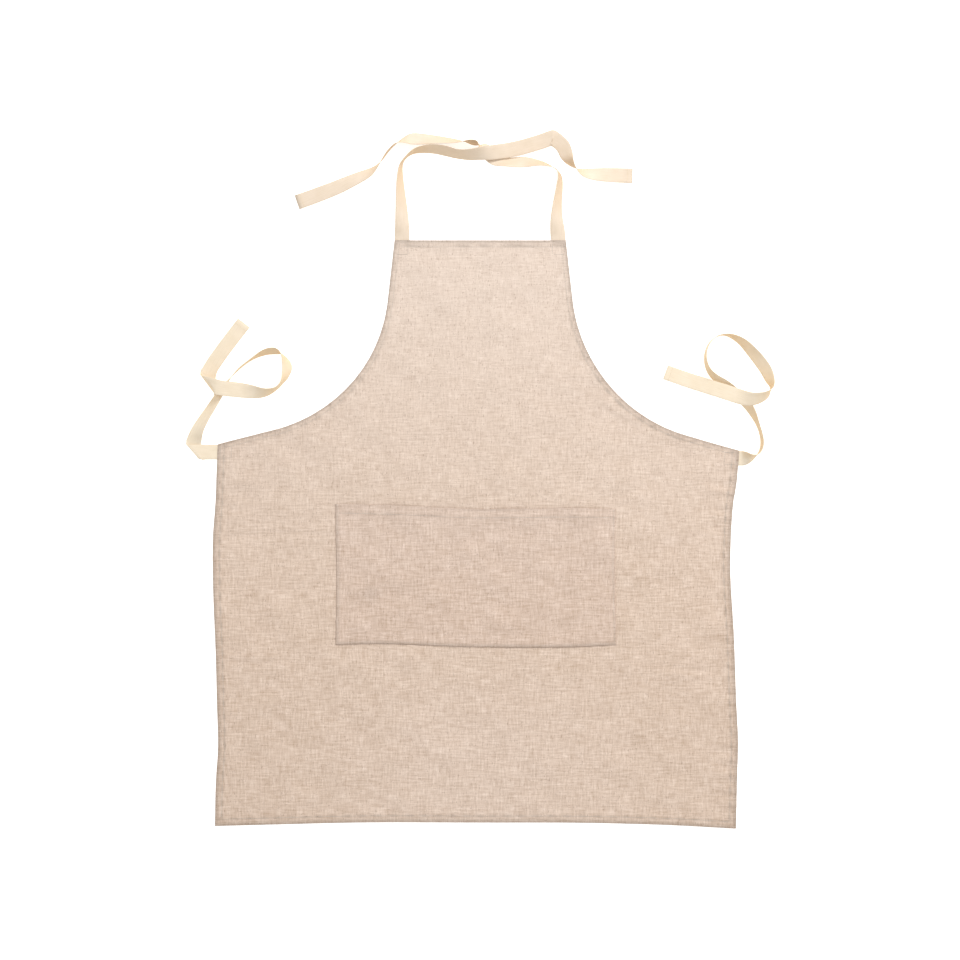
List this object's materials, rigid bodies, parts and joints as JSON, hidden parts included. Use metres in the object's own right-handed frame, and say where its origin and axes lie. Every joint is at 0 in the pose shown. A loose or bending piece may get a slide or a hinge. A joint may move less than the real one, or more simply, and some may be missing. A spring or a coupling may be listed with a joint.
{
  "type": "bib apron",
  "caption": "Linen bib apron with a front patch pocket, lying flat with its four cotton tape ties laid out loosely.",
  "frame": {"origin": "middle of the apron's outline on the surface it lies on, the free ties left out", "axes": "+X to the right seen from the front, +Y from the hem towards the bib, +Z out of the front face"},
  "size_m": [0.7966, 0.9282, 0.0202],
  "materials": {
    "linen": "plain-weave slubbed linen, matt",
    "tape": "cotton twill tape, soft matt",
    "thread": "spun sewing thread, matt"
  },
  "bodies": {
    "root": {"apron_panel": "linen", "armhole_hem_left": "linen", "armhole_hem_right": "linen", "armhole_thread_left": "thread", "armhole_thread_right": "thread", "bib_hem": "linen", "bib_hem_thread": "thread", "bottom_hem": "linen", "bottom_hem_thread": "thread", "neck_tie_left": "tape", "neck_tie_left_end_thread": "thread", "neck_tie_left_tack": "thread", "neck_tie_right": "tape", "neck_tie_right_end_thread": "thread", "neck_tie_right_tack": "thread", "pocket_mouth_hem": "linen", "pocket_mouth_thread": "thread", "pocket_panel": "linen", "pocket_thread": "thread", "pocket_turning_bottom": "linen", "pocket_turning_left": "linen", "pocket_turning_right": "linen", "side_hem_left": "linen", "side_hem_right": "linen", "side_hem_thread_left": "thread", "side_hem_thread_right": "thread", "waist_tie_left": "tape", "waist_tie_left_end_thread": "thread", "waist_tie_left_tack": "thread", "waist_tie_right": "tape", "waist_tie_right_end_thread": "thread", "waist_tie_right_tack": "thread"}
  },
  "joints": []
}
